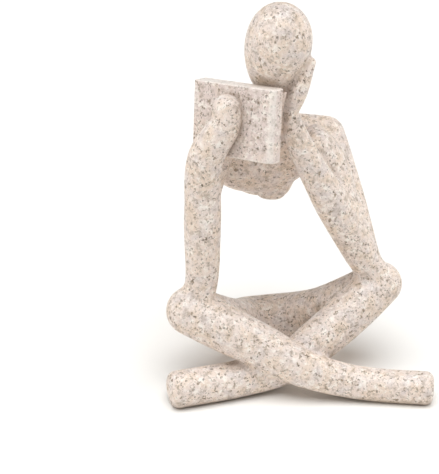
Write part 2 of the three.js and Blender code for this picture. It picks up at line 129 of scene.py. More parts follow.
# Head
HEAD_CENTRE = (-2.6, 4.8, 103.0)
HEAD_RADIUS = 9.5
HEAD_HALF_LENGTH = 14.0
HEAD_DEPTH_RATIO = 1.12
HEAD_SWELL = 0.15
HEAD_TILT = math.radians(7)
HEAD_PITCH = math.radians(12)

# Book
BOOK_WIDTH = 26.6
BOOK_HEIGHT = 20.7
BOOK_THICKNESS = 5.6
BOOK_SPINE_RADIUS = 1.6
BOOK_SPINE_STEPS = 8
BOOK_FOOT = (-8.1, -12.5, 75.8)
BOOK_TURN = math.radians(-46)
BOOK_LEAN = math.radians(9)
BOOK_ROLL = math.radians(3.5)

# How the skin is evened out, searched and cut
EVENING_PUSH = 0.5
EVENING_PULL = -0.52
NEAR_LIMB = 6.0
CUT_MARGIN = 0.03

# Stage, in metres apart from the camera's sensor, which is in millimetres as its lens is
SENSOR_WIDTH = 36.0
LOOK_AT = (-0.01912, 0.01085, 0.04331)
KEY_FROM = (-0.04, -0.25, 1.0)
LEFT_SIDE_FROM = (-1.0, 0.1, 0.4)
RIGHT_SIDE_FROM = (1.0, 0.1, 0.4)
LIGHT_SPREAD = math.radians(50)
COOL_WHITE = (0.95, 0.98, 1.0)
WARM_WHITE = (1.0, 0.94, 0.88)
FLOOR_BEND = 5.0
FLOOR_RIM_RADIUS = 0.8


def srgb(red, green, blue):
    """A colour as a paint chart gives it, 0 to 255, in the linear values that shaders take."""
    return tuple(
        c / 12.92 if c <= 0.04045 else ((c + 0.055) / 1.055) ** 2.4
        for c in (red / 255, green / 255, blue / 255)
    )


# Settings.


class FigurineSkinSettings(bpy.types.PropertyGroup):
    grain: FloatProperty(
        name="Skin Grain",
        description="Edge length of the fused skin's faces, in millimetres",
        default=0.4,
        min=0.2,
        max=2.0,
    )
    even_rounds: IntProperty(
        name="Evening Rounds",
        description="Rounds of smoothing over the whole skin",
        default=6,
        min=0,
    )
    crease_rounds: IntProperty(
        name="Crease Rounds",
        description="Rounds of smoothing where two limbs meet",
        default=45,
        min=0,
    )
    grip_flare: FloatProperty(
        name="Grip Flare",
        description="How far the hand spreads where it meets the cover, in millimetres",
        default=0.3,
        min=0.0,
    )
    book_edge: FloatProperty(
        name="Book Edge",
        description="Rounding of the book's edges, in millimetres",
        default=0.4,
        min=0.05,
    )


class SandstoneSettings(bpy.types.PropertyGroup):
    base: FloatVectorProperty(
        name="Base",
        description="Colour of the stone between its specks",
        subtype="COLOR",
        default=srgb(231, 215, 205),
    )
    book: FloatVectorProperty(
        name="Book",
        description="Colour of the book, a little pinker than the figure",
        subtype="COLOR",
        default=srgb(223, 207, 201),
    )
    warm: FloatVectorProperty(
        name="Warm Clouds",
        description="Colour of the broad warm clouds",
        subtype="COLOR",
        default=srgb(229, 210, 194),
    )
    cool: FloatVectorProperty(
        name="Cool Clouds",
        description="Colour of the broad clouds of greyer stone",
        subtype="COLOR",
        default=srgb(220, 207, 201),
    )
    # Also the colour of the book's paler rubbed edges, which paint a highlight on its spine's corner
    # and top edge.
    pale: FloatVectorProperty(
        name="Pale Grains",
        description="Colour of the palest grains",
        subtype="COLOR",
        default=srgb(255, 250, 242),
    )
    # Also the colour of the painted shade laid into the creases between pieces.
    brown: FloatVectorProperty(
        name="Brown Grains",
        description="Colour of the small brown-grey grains",
        subtype="COLOR",
        default=srgb(148, 130, 108),
    )
    dark: FloatVectorProperty(
        name="Dark Specks",
        description="Colour of the dark specks",
        subtype="COLOR",
        default=srgb(86, 70, 50),
    )
    roughness: FloatProperty(
        name="Roughness",
        description="Roughness of the rubbed stone",
        default=0.46,
        min=0.0,
        max=1.0,
        subtype="FACTOR",
    )


class StudioSettings(bpy.types.PropertyGroup):
    azimuth: FloatProperty(
        name="Azimuth",
        description="Where the camera stands round the figure",
        default=math.radians(-12),
        subtype="ANGLE",
    )
    elevation: FloatProperty(
        name="Elevation",
        description="How high the camera stands above the table",
        default=math.radians(25),
        subtype="ANGLE",
    )
    distance: FloatProperty(
        name="Distance",
        description="From the camera to the point it looks at",
        default=0.42,
        min=0.05,
        unit="LENGTH",
    )
    lens: FloatProperty(
        name="Lens",
        description="Focal length of the camera, in millimetres",
        default=106.33,
        min=10.0,
    )
    floor: FloatVectorProperty(
        name="Floor",
        description="Colour of the pale floor",
        subtype="COLOR",
        default=(0.96, 0.94, 0.91),
    )
    key: FloatProperty(
        name="Key Light",
        description="Strength of the broad soft light above the figure",
        default=2.75,
        min=0.0,
    )
    left_side: FloatProperty(
        name="Left Side Light",
        description="Strength of the soft light from the viewer's left",
        default=0.92,
        min=0.0,
    )
    right_side: FloatProperty(
        name="Right Side Light",
        description="Strength of the soft light from the viewer's right",
        default=0.92,
        min=0.0,
    )
    sky: FloatProperty(
        name="Sky",
        description="Strength of the even light from all round",
        default=0.14,
        min=0.0,
    )


# Sweeping the limbs.


def vec(p):
    return np.array(p, float)


def between(start, end, share, offset=(0.0, 0.0, 0.0)):
    """Point at a share of the way from one point to another, moved by an offset."""
    return vec(start) + (vec(end) - vec(start)) * share + vec(offset)


def curve_point(points, at, spaced):
    """Point on a smooth curve through the points; `spaced` follows their spacing."""
    last = len(points) - 1
    k = min(int(at * last), last - 1)
    t = at * last - k
    p1, p2 = points[k], points[k + 1]
    p0 = points[k - 1] if k > 0 else 2 * p1 - p2
    p3 = points[k + 2] if k + 2 <= last else 2 * p2 - p1
    if spaced:
        spans = ((p0, p1), (p1, p2), (p2, p3))
        d0, d1, d2 = (max(float(np.linalg.norm(b - a)) ** 0.5, 1e-3) for a, b in spans)
        out = ((p1 - p0) / d0 - (p2 - p0) / (d0 + d1) + (p2 - p1) / d1) * d1
        into = ((p2 - p1) / d1 - (p3 - p1) / (d1 + d2) + (p3 - p2) / d2) * d1
    else:
        out, into = (p2 - p0) / 2, (p3 - p1) / 2
    bend = -3 * p1 + 3 * p2 - 2 * out - into
    twist = 2 * p1 - 2 * p2 + out + into
    return p1 + out * t + bend * t**2 + twist * t**3


def closed_skin(rings):
    """Vertices and faces of a run of rings, each end shut by a fan."""
    sides = len(rings[0])
    verts = [p for ring in rings for p in ring]
    verts += [np.mean(rings[0], axis=0), np.mean(rings[-1], axis=0)]
    last = (len(rings) - 1) * sides
    faces = []
    for k in range(sides):
        n = (k + 1) % sides
        faces += [(r + k, r + n, r + sides + n, r + sides + k) for r in range(0, last, sides)]
        faces.append((len(verts) - 2, n, k))
        faces.append((len(verts) - 1, last + k, last + n))
    return np.array(verts), faces


def swept(stations, hint=RIGHTWARD, toe_edge=None, sides=40, per_span=12, cap_rings=8):
    """A limb through its stations (middle, half width, half depth), with rounded ends.

    The half width is measured along the hint. A toe edge blunts the far end.
    """
    middles = [vec(s[0]) for s in stations]
    sizes = [vec((s[1], s[2] if len(s) > 2 else s[1])) for s in stations]
    turn = np.linspace(0, 2 * math.pi, sides, endpoint=False)

    def ring(at, slide=0.0, shrink=0.0):
        behind = curve_point(middles, max(at - 1e-4, 0), True)
        ahead = curve_point(middles, min(at + 1e-4, 1), True) - behind
        ahead /= np.linalg.norm(ahead)
        across = vec(hint) - ahead * np.dot(hint, ahead)
        across /= np.linalg.norm(across)
        deep = np.cross(ahead, across)
        wide, thick = curve_point(sizes, at, False) - shrink
        middle = curve_point(middles, at, True) + ahead * slide
        return middle + np.outer(np.cos(turn) * wide, across) + np.outer(np.sin(turn) * thick, deep)

    def cap(at, edge, way):
        radius = min(edge, 0.97 * min(curve_point(sizes, at, False)))
        lifts = [(k + 1) / cap_rings * math.pi / 2 for k in range(cap_rings)]
        return [ring(at, way * radius * math.sin(a), radius * (1 - math.cos(a))) for a in lifts]

    steps = (len(stations) - 1) * per_span
    near = cap(0, math.inf, -1)[::-1]
    far = cap(1, toe_edge or math.inf, 1)
    return closed_skin(near + [ring(k / steps) for k in range(steps + 1)] + far)


def egg(sides=64, rings=48):
    """The head: an egg, chin down, turned about its own middle."""
    turn = np.linspace(0, 2 * math.pi, sides, endpoint=False)
    place = Matrix.Rotation(HEAD_TILT, 3, "Y") @ Matrix.Rotation(HEAD_PITCH, 3, "X")
    loops = []
    for k in range(1, rings):
        polar = math.pi * k / rings
        radius = HEAD_RADIUS * math.sin(polar) * (1 - HEAD_SWELL * (math.cos(polar) + 0.2))
        height = -math.cos(polar) * HEAD_HALF_LENGTH
        loop = np.stack(
            (
                radius * np.cos(turn),
                radius * np.sin(turn) * HEAD_DEPTH_RATIO,
                np.full(sides, height),
            ),
            axis=1,
        )
        loops.append(loop @ np.array(place).T + vec(HEAD_CENTRE))
    return closed_skin(loops)


def book_place():
    """Places the book: its own origin is the foot of the spine, cover side."""
    return (
        Matrix.Translation(BOOK_FOOT)
        @ Matrix.Rotation(BOOK_TURN, 4, "Z")
        @ Matrix.Rotation(-BOOK_LEAN, 4, "X")
        @ Matrix.Rotation(-BOOK_ROLL, 4, "Y")
    )


def on_cover(from_spine, in_front, above_foot):
    return vec(book_place() @ Vector((-from_spine, -in_front, above_foot)))


def on_cheek(x, y, z):
    return vec(HEAD_CENTRE) + vec((x * HEAD_RADIUS, y * HEAD_RADIUS, z * HEAD_HALF_LENGTH))


class Limb:
    """One swept form, and the family of limbs that it is cut apart with.

    Its creases with other limbs are smoothed over `soft` millimetres.
    """

    def __init__(self, family, soft, skin):
        self.family = family
        self.soft = soft
        self.verts, self.faces = skin


def chest_station(share, offset, width, depth):
    middle = between(THROAT, CHEST_TIP, share, offset)
    return middle, width * CHEST_HALF_WIDTH, depth * CHEST_HALF_DEPTH


def trunk_limbs():
    """Shoulders, chest, neck and the two upper arms."""
    nape = between(RIGHT_SHOULDER, LEFT_SHOULDER, 0.5, (0, 1.2, 1))
    shoulders = [
        (RIGHT_SHOULDER, SHOULDER_RADIUS),
        (nape, SHOULDER_RADIUS + SHOULDER_SWELL),
        (LEFT_SHOULDER, SHOULDER_RADIUS),
    ]
    chest = [
        chest_station(0.05, (0, 0, 0), 0.94, 0.9),
        chest_station(0.34, (-0.6, 0, 0), 1, 1),
        chest_station(0.62, (-0.9, 0, 0), 1.02, 0.98),
        chest_station(0.8, (-0.3, 0, 0), 0.65, 0.8),
        chest_station(0.92, (0.3, 0, 0), 0.36, 0.8),
        chest_station(1, (0, 0, 0), 0.3, 0.46),
    ]
    neck = [
        (THROAT, NECK_RADIUS + 2.2),
        (between(THROAT, HEAD_CENTRE, 0.22), NECK_RADIUS + 0.6),
        (between(THROAT, HEAD_CENTRE, 0.45), NECK_RADIUS),
        (between(THROAT, HEAD_CENTRE, 0.75), NECK_RADIUS),
    ]
    right_upper_arm = [
        (RIGHT_SHOULDER, SHOULDER_RADIUS),
        (between(RIGHT_SHOULDER, RIGHT_ELBOW, 0.4, (-2.9, 0, 0)), UPPER_ARM_RADIUS),
        (RIGHT_ELBOW, ELBOW_RADIUS),
        (between(RIGHT_ELBOW, RIGHT_KNEE, 0.5), ELBOW_RADIUS),
    ]
    left_upper_arm = [
        (LEFT_SHOULDER, SHOULDER_RADIUS),
        (between(LEFT_SHOULDER, LEFT_ELBOW, 0.5, (0, 0, 1)), UPPER_ARM_RADIUS),
        (LEFT_ELBOW, ELBOW_RADIUS),
        (between(LEFT_ELBOW, LEFT_KNEE, 0.5), ELBOW_RADIUS),
    ]
    return [
        Limb("trunk", 3.5, swept(shoulders, UPWARD)),
        Limb("trunk", 3.0, swept(chest)),
        Limb("trunk", 2.2, swept(neck)),
        Limb("trunk", 2.0, swept(right_upper_arm)),
        Limb("trunk", 2.0, swept(left_upper_arm)),
    ]


def left_wrist():
    return on_cheek(0.24, -0.72, -1.14)


def forearm_limbs():
    """The forearm and fist on the book, and the forearm and flat hand on the cheek."""
    right_wrist = on_cover(FIST_FROM_SPINE + WRIST_FROM_FIST, 0.65 * FOREARM_RADIUS, -0.6)
    fist_tip = on_cover(FIST_FROM_SPINE, 0.9 * FIST_STANDOFF, FIST_ABOVE_FOOT + FIST_LENGTH)
    right = [
        (between(RIGHT_ELBOW, RIGHT_KNEE, 0.5), ELBOW_RADIUS),
        (RIGHT_ELBOW, ELBOW_RADIUS),
        (between(RIGHT_ELBOW, right_wrist, 0.45), FOREARM_RADIUS),
        (right_wrist, FOREARM_RADIUS),
        (on_cover(FIST_FROM_SPINE, FIST_STANDOFF, FIST_ABOVE_FOOT), FIST_RADIUS),
        (fist_tip, FIST_TIP_RADIUS),
    ]
    wrist = left_wrist()
    left = [
        (between(LEFT_ELBOW, LEFT_KNEE, 0.5), ELBOW_RADIUS),
        (LEFT_ELBOW, ELBOW_RADIUS),
        (between(LEFT_ELBOW, wrist, 0.42, (-0.4, 0, -1.6)), FOREARM_RADIUS),
        (between(LEFT_ELBOW, wrist, 0.6, (-0.9, 0, -1.5)), 4.58),
        (between(LEFT_ELBOW, wrist, 0.74, (-1.3, 0, -1.2)), 4.0),
        (between(LEFT_ELBOW, wrist, 0.9, (-1, 0, -0.8)), 3.33),
        (wrist, WRIST_HALF_WIDTH, WRIST_HALF_DEPTH),
    ]
    hand = [
        (wrist, WRIST_HALF_WIDTH, WRIST_HALF_DEPTH),
        (on_cheek(0.5, -0.7, -0.68), 2.6, 3.8),
        (on_cheek(0.85, -0.58, -0.15), 1.5, WRIST_HALF_DEPTH),
    ]
    return [
        Limb("right_forearm", 1.6, swept(right)),
        Limb("left_forearm", 1.2, swept(left)),
        Limb("left_forearm", 0.6, swept(hand)),
    ]


def elbow_fold():
    """The web that joins the left forearm to the upper arm, up to the shoulder."""
    wrist = left_wrist()
    rise = (LEFT_SHOULDER[2] - LEFT_ELBOW[2]) / (wrist[2] - LEFT_ELBOW[2])

    def sides(share):
        upper_arm = between(LEFT_ELBOW, LEFT_SHOULDER, share)
        return upper_arm, between(LEFT_ELBOW, wrist, share * rise)

    upper, fore = sides(1)
    across = (upper - fore) / np.linalg.norm(upper - fore)

    def fold(share, off_upper_arm, off_forearm, thickness=FOLD_HALF_THICKNESS):
        upper, fore = sides(share)
        back, front = upper - across * off_upper_arm, fore + across * off_forearm
        return (back + front) / 2, float(np.linalg.norm(back - front)) / 2, thickness

    stations = [
        fold(0.12, -FOLD_OVERLAP, -FOLD_OVERLAP),
        fold(0.4, -0.6 * FOLD_OVERLAP, -0.6 * FOLD_OVERLAP),
        fold(0.6, -0.25 * FOLD_OVERLAP, -0.25 * FOLD_OVERLAP),
        fold(0.73, -0.1 * FOLD_OVERLAP, 0.75 * FOLD_CREASE),
        fold(0.87, 0, FOLD_CREASE),
        fold(1.05, FOLD_STOP, 0.8 * FOLD_CREASE, 0.8 * FOLD_HALF_THICKNESS),
    ]
    return Limb("left_forearm", 0.7, swept(stations, tuple(across)))


def leg_limbs():
    """Thighs, seat, shins and feet."""
    right_hip = (-SEAT_HALF_WIDTH, SEAT[1], SEAT[2])
    left_hip = (SEAT_HALF_WIDTH, SEAT[1], SEAT[2])
    right_thigh = [
        (RIGHT_KNEE, RIGHT_KNEE_RADIUS),
        (between(RIGHT_KNEE, SEAT, 0.5, (0, 0, -1)), THIGH_RADIUS),
        (right_hip, SEAT_RADIUS),
    ]
    left_thigh = [
        (LEFT_KNEE, LEFT_KNEE_RADIUS),
        (between(LEFT_KNEE, SEAT, 0.5, (0, 0, -1.6)), THIGH_RADIUS),
        (left_hip, SEAT_RADIUS),
    ]
    haunch = [(middle, SEAT_RADIUS) for middle in (right_hip, SEAT, left_hip)]
    right_shin = [
        (RIGHT_KNEE, RIGHT_KNEE_RADIUS),
        (between(RIGHT_KNEE, CROSSING_FRONT, 0.36, (0, -1, 0.4)), CALF_RADIUS + 0.5),
        (between(RIGHT_KNEE, CROSSING_FRONT, 0.7, (0, -0.3, 0.4)), CALF_RADIUS),
        (CROSSING_FRONT, CROSSING_RADIUS),
        (between(CROSSING_FRONT, RIGHT_TOE, 0.35, (0, 0.6, -2.2)), RIGHT_FOOT_RADIUS + 0.1),
        (between(CROSSING_FRONT, RIGHT_TOE, 0.65, (0, 0.6, -1.9)), RIGHT_FOOT_RADIUS),
        (RIGHT_TOE, RIGHT_FOOT_RADIUS),
    ]
    left_shin = [
        (LEFT_KNEE, LEFT_KNEE_RADIUS),
        (between(LEFT_KNEE, CROSSING_BACK, 0.32, (0, -0.5, -0.9)), CALF_RADIUS + 0.3),
        (between(LEFT_KNEE, CROSSING_BACK, 0.66, (0, -0.5, -1)), CALF_RADIUS),
        (CROSSING_BACK, CROSSING_RADIUS),
        (between(CROSSING_BACK, LEFT_TOE, 0.4, (0, 0.3, -1.2)), LEFT_FOOT_RADIUS),
        (LEFT_TOE, LEFT_FOOT_RADIUS),
    ]
    return [
        Limb("thighs", 3.0, swept(right_thigh, UPWARD)),
        Limb("thighs", 3.0, swept(left_thigh, UPWARD)),
        Limb("thighs", 3.0, swept(haunch, UPWARD)),
        Limb("right_shin", 2.4, swept(right_shin, UPWARD, TOE_EDGE)),
        Limb("left_shin", 2.4, swept(left_shin, UPWARD, TOE_EDGE)),
    ]


# Fusing the limbs and cutting the castings out of them.

SEAMS = {
    "trunk": (SHOULDER_SEAM, ("right_arm", "torso", "left_arm")),
    "thighs": (SEAT_HALF_WIDTH, ("right_leg", "seat", "left_leg")),
}
WHOLE = {
    "head": "head",
    "right_forearm": "right_arm",
    "left_forearm": "left_arm",
    "right_shin": "right_leg",
    "left_shin": "left_leg",
}
_castings = {}


def frame_shift():
    """From the drawing of the castings to the frame's origin, read off a pin."""
    low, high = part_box("left_hip_pin")
    return vec((low + high) / 2) / MM - vec((SEAT_HALF_WIDTH, SEAT[1], SEAT[2]))


def fused(limbs, grain):
    """One closed mesh round all the limbs."""
    verts, faces, start = [], [], 0
    for limb in limbs:
        verts.append(limb.verts)
        faces += [tuple(start + i for i in face) for face in limb.faces]
        start += len(limb.verts)
    mesh = bpy.data.meshes.new("limbs")
    mesh.from_pydata(np.concatenate(verts).tolist(), [], faces)
    limbs_object = bpy.data.objects.new("limbs", mesh)
    bpy.context.collection.objects.link(limbs_object)
    remesh = limbs_object.modifiers.new("fuse", "REMESH")
    remesh.mode = "VOXEL"
    remesh.voxel_size = grain
    depsgraph = bpy.context.evaluated_depsgraph_get()
    skin = bpy.data.meshes.new_from_object(limbs_object.evaluated_get(depsgraph))
    bpy.data.objects.remove(limbs_object)
    bpy.data.meshes.remove(mesh)
    return skin


def neighbours(skin):
    """Each vertex's neighbours, as one long list and where each vertex's share starts."""
    pairs = np.empty(len(skin.edges) * 2, np.int64)
    skin.edges.foreach_get("vertices", pairs)
    pairs = pairs.reshape(-1, 2)
    one = np.concatenate((pairs[:, 0], pairs[:, 1]))
    other = np.concatenate((pairs[:, 1], pairs[:, 0]))
    order = np.argsort(one, kind="stable")
    starts = np.searchsorted(one[order], np.arange(len(skin.vertices)))
    counts = np.bincount(one, minlength=len(skin.vertices))
    return other[order], starts, counts[:, None]


def relaxed(points, around, weight):
    """Moves the points towards the middle of their neighbours, by a weight each."""
    others, starts, counts = around
    middle = np.add.reduceat(points[others], starts, axis=0) / counts
    return points + (middle - points) * weight


def distances(points, limbs, reach=NEAR_LIMB):
    """How far each point is from each limb's own surface, up to the reach."""
    table = np.full((len(points), len(limbs)), reach)
    spots = [Vector(p) for p in points]
    for column, limb in enumerate(limbs):
        tree = BVHTree.FromPolygons(limb.verts.tolist(), limb.faces)
        low, high = limb.verts.min(0) - reach, limb.verts.max(0) + reach
        near = np.nonzero(np.all((points > low) & (points < high), axis=1))[0]
        for row in near:
            found = tree.find_nearest(spots[row], reach)
            if found[0] is not None:
                table[row, column] = found[3]
    return table


def crease_weights(table, limbs):
    """1 in the angle between two limbs, down to 0 where only one is near."""
    soft = np.array([limb.soft for limb in limbs])
    order = np.argsort(table, axis=1)
    rows = np.arange(len(table))
    reach = np.minimum(soft[order[:, 0]], soft[order[:, 1]])
    share = np.clip(1 - table[rows, order[:, 1]] / reach, 0, 1)
    return (share * share * (3 - 2 * share))[:, None]


def spread_grip(points, normals, owners, flare, margin=1.0):
    """Lets the hand run out onto the cover of the book."""
    inverse = np.array(book_place().inverted())
    along, stand, up = (points @ inverse[:3, :3].T + inverse[:3, 3]).T
    stand = -stand
    reach = 1.6 * max(flare, 0.01)
    share = np.clip(1 - stand / reach, 0, 1) ** 2
    on_book = (along > -BOOK_WIDTH) & (up > 0.5 * margin)
    held = (owners == "right_forearm") & (stand > -margin) & (stand < reach) & on_book
    outward = -np.array(book_place().to_3x3())[:, 1]
    sideways = normals - np.outer(normals @ outward, outward)
    return points + sideways * (share * flare * held)[:, None]


def family_distances(table, limbs):
    """The families of limbs, and how far each point is from the nearest of each."""
    families = sorted({limb.family for limb in limbs})
    columns = [[k for k, limb in enumerate(limbs) if limb.family == f] for f in families]
    return families, np.stack([table[:, c].min(axis=1) for c in columns], axis=1)


def casting_of(family, x):
    """The casting that a point of a family belongs to, by its side of the seams."""
    if family in WHOLE:
        return WHOLE[family]
    seam, (right, middle, left) = SEAMS[family]
    if x < -seam:
        return right
    return left if x > seam else middle


def cut_share(one, other, families, nearness, points, family_names):
    """Where along an edge one casting ends and the next begins."""
    a, b = families[one], families[other]
    if a == b:
        x0, x1 = points[one][0], points[other][0]
        seam = math.copysign(SEAMS[family_names[a]][0], x0 + x1)
        share = (seam - x0) / (x1 - x0)
    else:
        here = nearness[one, a] - nearness[one, b]
        there = nearness[other, a] - nearness[other, b]
        share = here / (here - there) if here != there else 0.5
    return min(max(share, CUT_MARGIN), 1 - CUT_MARGIN)


def cut_apart(skin, points, table, limbs):
    """Splits the fused skin along the seams; returns each casting's vertices, faces, normals."""
    family_names, nearness = family_distances(table, limbs)
    families = np.argmin(nearness, axis=1)
    names = [casting_of(family_names[f], p[0]) for f, p in zip(families, points)]
    castings = sorted(set(names))
    number = {name: k + 1 for k, name in enumerate(castings)}
    skin.vertices.foreach_set("co", points.ravel())
    work = bmesh.new()
    work.from_mesh(skin)
    owner = work.verts.layers.int.new("owner")
    for vert, name in zip(work.verts, names):
        vert[owner] = number[name]
    plans = []
    for edge in work.edges:
        one, other = edge.verts
        if one[owner] != other[owner]:
            share = cut_share(one.index, other.index, families, nearness, points, family_names)
            plans.append((edge, one, share))
    fresh = []
    for edge, vert, share in plans:
        split = bmesh.utils.edge_split(edge, vert, share)[1]
        split[owner] = 0
        fresh.append(split)
    bmesh.ops.connect_verts(work, verts=fresh)
    bmesh.ops.triangulate(work, faces=[f for f in work.faces if len(f.verts) > 4])
    work.normal_update()
    shares = {name: [] for name in castings}
    for face in work.faces:
        owners = [v[owner] for v in face.verts if v[owner]]
        if not owners:
            nearby = [f for e in face.edges for f in e.link_faces]
            owners = [v[owner] for f in nearby for v in f.verts if v[owner]]
        shares[castings[max(set(owners), key=owners.count) - 1]].append(face)
    pieces = {name: piece_arrays(faces) for name, faces in shares.items()}
    work.free()
    return pieces


def piece_arrays(faces):
    """Vertices, faces and vertex normals of some of a mesh's faces."""
    place, verts, normals, rows = {}, [], [], []
    for face in faces:
        row = []
        for vert in face.verts:
            if vert not in place:
                place[vert] = len(verts)
                verts.append(vert.co[:])
                normals.append(vert.normal[:])
            row.append(place[vert])
        rows.append(row)
    return np.array(verts), rows, np.array(normals)


def rim_loops(rows):
    """The open edges of some faces, walked round into closed loops."""
    ahead = {}
    for row in rows:
        for a, b in zip(row, row[1:] + row[:1]):
            ahead.setdefault(a, set()).add(b)
    follow = {}
    for a, nexts in ahead.items():
        for b in nexts:
            if a not in ahead.get(b, ()):
                follow.setdefault(b, []).append(a)
    loops = []
    while follow:
        start = next(iter(follow))
        loop, here = [start], follow[start].pop()
        if not follow[start]:
            del follow[start]
        while here != start and here in follow:
            loop.append(here)
            nexts = follow[here]
            there = nexts.pop()
            if not nexts:
                del follow[here]
            here = there
        loops.append(loop)
    return loops


def cast_figure(settings):
    """Every stone casting of the figure, as arrays; made once."""
    if _castings:
        return _castings
    limbs = [Limb("head", 0.9, egg()), *trunk_limbs(), *forearm_limbs(), elbow_fold(), *leg_limbs()]
    skin = fused(limbs, settings.grain)
    points = np.empty(len(skin.vertices) * 3)
    skin.vertices.foreach_get("co", points)
    points = points.reshape(-1, 3)
    around = neighbours(skin)
    for _ in range(settings.even_rounds):
        points = relaxed(points, around, EVENING_PUSH)
        points = relaxed(points, around, EVENING_PULL)
    table = distances(points, limbs)
    weight = crease_weights(table, limbs)
    for _ in range(settings.crease_rounds):
        points = relaxed(points, around, 0.5 * weight)
    skin.vertices.foreach_set("co", points.ravel())
    skin.update()
    normals = np.empty(len(skin.vertices) * 3)
    skin.vertex_normals.foreach_get("vector", normals)
    family_names, nearness = family_distances(table, limbs)
    owners = np.array(family_names)[np.argmin(nearness, axis=1)]
    points = spread_grip(points, normals.reshape(-1, 3), owners, settings.grip_flare)
    points[:, 2] = np.maximum(points[:, 2], BASE_CUT)
    _castings.update(cut_apart(skin, points, table, limbs))
    bpy.data.meshes.remove(skin)
    return _castings


# Materials.


def feed(tree, value, socket):
    """Links a socket to another node's output, or gives it a number or a colour."""
    if isinstance(value, bpy.types.NodeSocket):
        tree.links.new(value, socket)
    elif isinstance(value, float):
        socket.default_value = value
    else:
        socket.default_value = (*value, 1.0)


def mixed(tree, share, under, over):
    """Colour `over` laid on colour `under` by a share; either may be a socket."""
    mix = tree.nodes.new("ShaderNodeMix")
    mix.data_type = "RGBA"
    mix.clamp_factor = True
    for socket, value in ((mix.inputs[0], share), (mix.inputs[6], under), (mix.inputs[7], over)):
        feed(tree, value, socket)
    return mix.outputs[2]


def ranged(tree, value, low, high, to_low=0.0, to_high=1.0):
    """The value, mapped from one range to another and held inside it."""
    step = tree.nodes.new("ShaderNodeMapRange")
    step.inputs["From Min"].default_value = low
    step.inputs["From Max"].default_value = high
    step.inputs["To Min"].default_value = to_low
    step.inputs["To Max"].default_value = to_high
    tree.links.new(value, step.inputs["Value"])
    return step.outputs["Result"]


def joined(tree, operation, one, other):
    """One number worked out from two."""
    step = tree.nodes.new("ShaderNodeMath")
    step.operation = operation
    feed(tree, one, step.inputs[0])
    feed(tree, other, step.inputs[1])
    return step.outputs[0]


def product(tree, one, other):
    return joined(tree, "MULTIPLY", one, other)


def largest(tree, one, other):
    return joined(tree, "MAXIMUM", one, other)


def millimetres(tree, offset):
    """Coordinates in millimetres of the figure's own space."""
    place = tree.nodes.new("ShaderNodeTexCoord")
    scale = tree.nodes.new("ShaderNodeMapping")
    scale.inputs["Scale"].default_value = (1 / MM, 1 / MM, 1 / MM)
    scale.inputs["Location"].default_value = offset
    tree.links.new(place.outputs["Object"], scale.inputs["Vector"])
    return scale.outputs["Vector"]


def noise(tree, coords, per_mm, detail=2.0, rough=0.5):
    """Cloudy noise with so many swells to the millimetre."""
    step = tree.nodes.new("ShaderNodeTexNoise")
    step.inputs["Scale"].default_value = per_mm
    step.inputs["Detail"].default_value = detail
    step.inputs["Roughness"].default_value = rough
    tree.links.new(coords, step.inputs["Vector"])
    return step.outputs["Fac"]


def blobs(tree, coords, per_mm, edge, core):
    """Crooked blobs where a noise runs past `edge`, solid from `core` on."""
    return ranged(tree, noise(tree, coords, per_mm, 1.0, 0.6), edge, core)


def grains(tree, coords, spacing, radius, share, soft=0.35):
    """Grains strewn through the stone: 1 inside a grain, for a share of the cells."""
    cells = tree.nodes.new("ShaderNodeTexVoronoi")
    cells.inputs["Scale"].default_value = 1 / spacing
    tree.links.new(coords, cells.inputs["Vector"])
    parts = tree.nodes.new("ShaderNodeSeparateColor")
    tree.links.new(cells.outputs["Color"], parts.inputs["Color"])
    edge = radius / spacing
    inside = ranged(tree, cells.outputs["Distance"], edge * (1 - soft), edge, 1.0, 0.0)
    chosen = ranged(tree, parts.outputs["Red"], share, share + 0.01, 1.0, 0.0)
    strength = ranged(tree, parts.outputs["Green"], 0.0, 1.0, 0.45, 1.0)
    return product(tree, product(tree, inside, chosen), strength)


def jostled(tree, coords, reach):
    """The coordinates, shaken about, so that grains come out crooked."""
    shake = tree.nodes.new("ShaderNodeTexNoise")
    shake.inputs["Scale"].default_value = 1.7
    shake.inputs["Detail"].default_value = 1.0
    tree.links.new(coords, shake.inputs["Vector"])
    moved = tree.nodes.new("ShaderNodeVectorMath")
    moved.operation = "MULTIPLY_ADD"
    tree.links.new(shake.outputs["Color"], moved.inputs[0])
    moved.inputs[1].default_value = (reach, reach, reach)
    tree.links.new(coords, moved.inputs[2])
    return moved.outputs[0]


def painted_fold_shade(tree, reach):
    """Painted shade: 1 deep in a fold between two pieces, where shade falls, 0 on open stone."""
    shut = tree.nodes.new("ShaderNodeAmbientOcclusion")
    shut.samples = 8
    shut.inputs["Distance"].default_value = reach * MM
    return ranged(tree, shut.outputs["AO"], 0.8, 0.2)


def rubbed_edges_and_highlight(tree):
    """1 on the corner of the spine and at the book's head and foot, where it is rubbed pale; on the
    spine's corner and the top edge this paler tone is also a painted highlight.

    Measured in the book's own millimetres: along the cover, through the book and up it.
    """
    to_book = book_place().inverted() @ Matrix.Translation(-frame_shift())
    place = tree.nodes.new("ShaderNodeTexCoord")
    own = tree.nodes.new("ShaderNodeMapping")
    own.inputs["Scale"].default_value = (1 / MM, 1 / MM, 1 / MM)
    own.inputs["Rotation"].default_value = to_book.to_euler("XYZ")
    own.inputs["Location"].default_value = to_book.to_translation()
    tree.links.new(place.outputs["Object"], own.inputs["Vector"])
    parts = tree.nodes.new("ShaderNodeSeparateXYZ")
    tree.links.new(own.outputs["Vector"], parts.inputs["Vector"])
    along, through, up = parts.outputs
    corner = product(tree, ranged(tree, along, -2.2, -1.3), ranged(tree, through, 1.5, 0.7))
    ends = largest(
        tree,
        ranged(tree, up, BOOK_HEIGHT - 0.5, BOOK_HEIGHT - 0.1),
        ranged(tree, up, 0.7, 0.2),
    )
    return largest(tree, corner, ends)


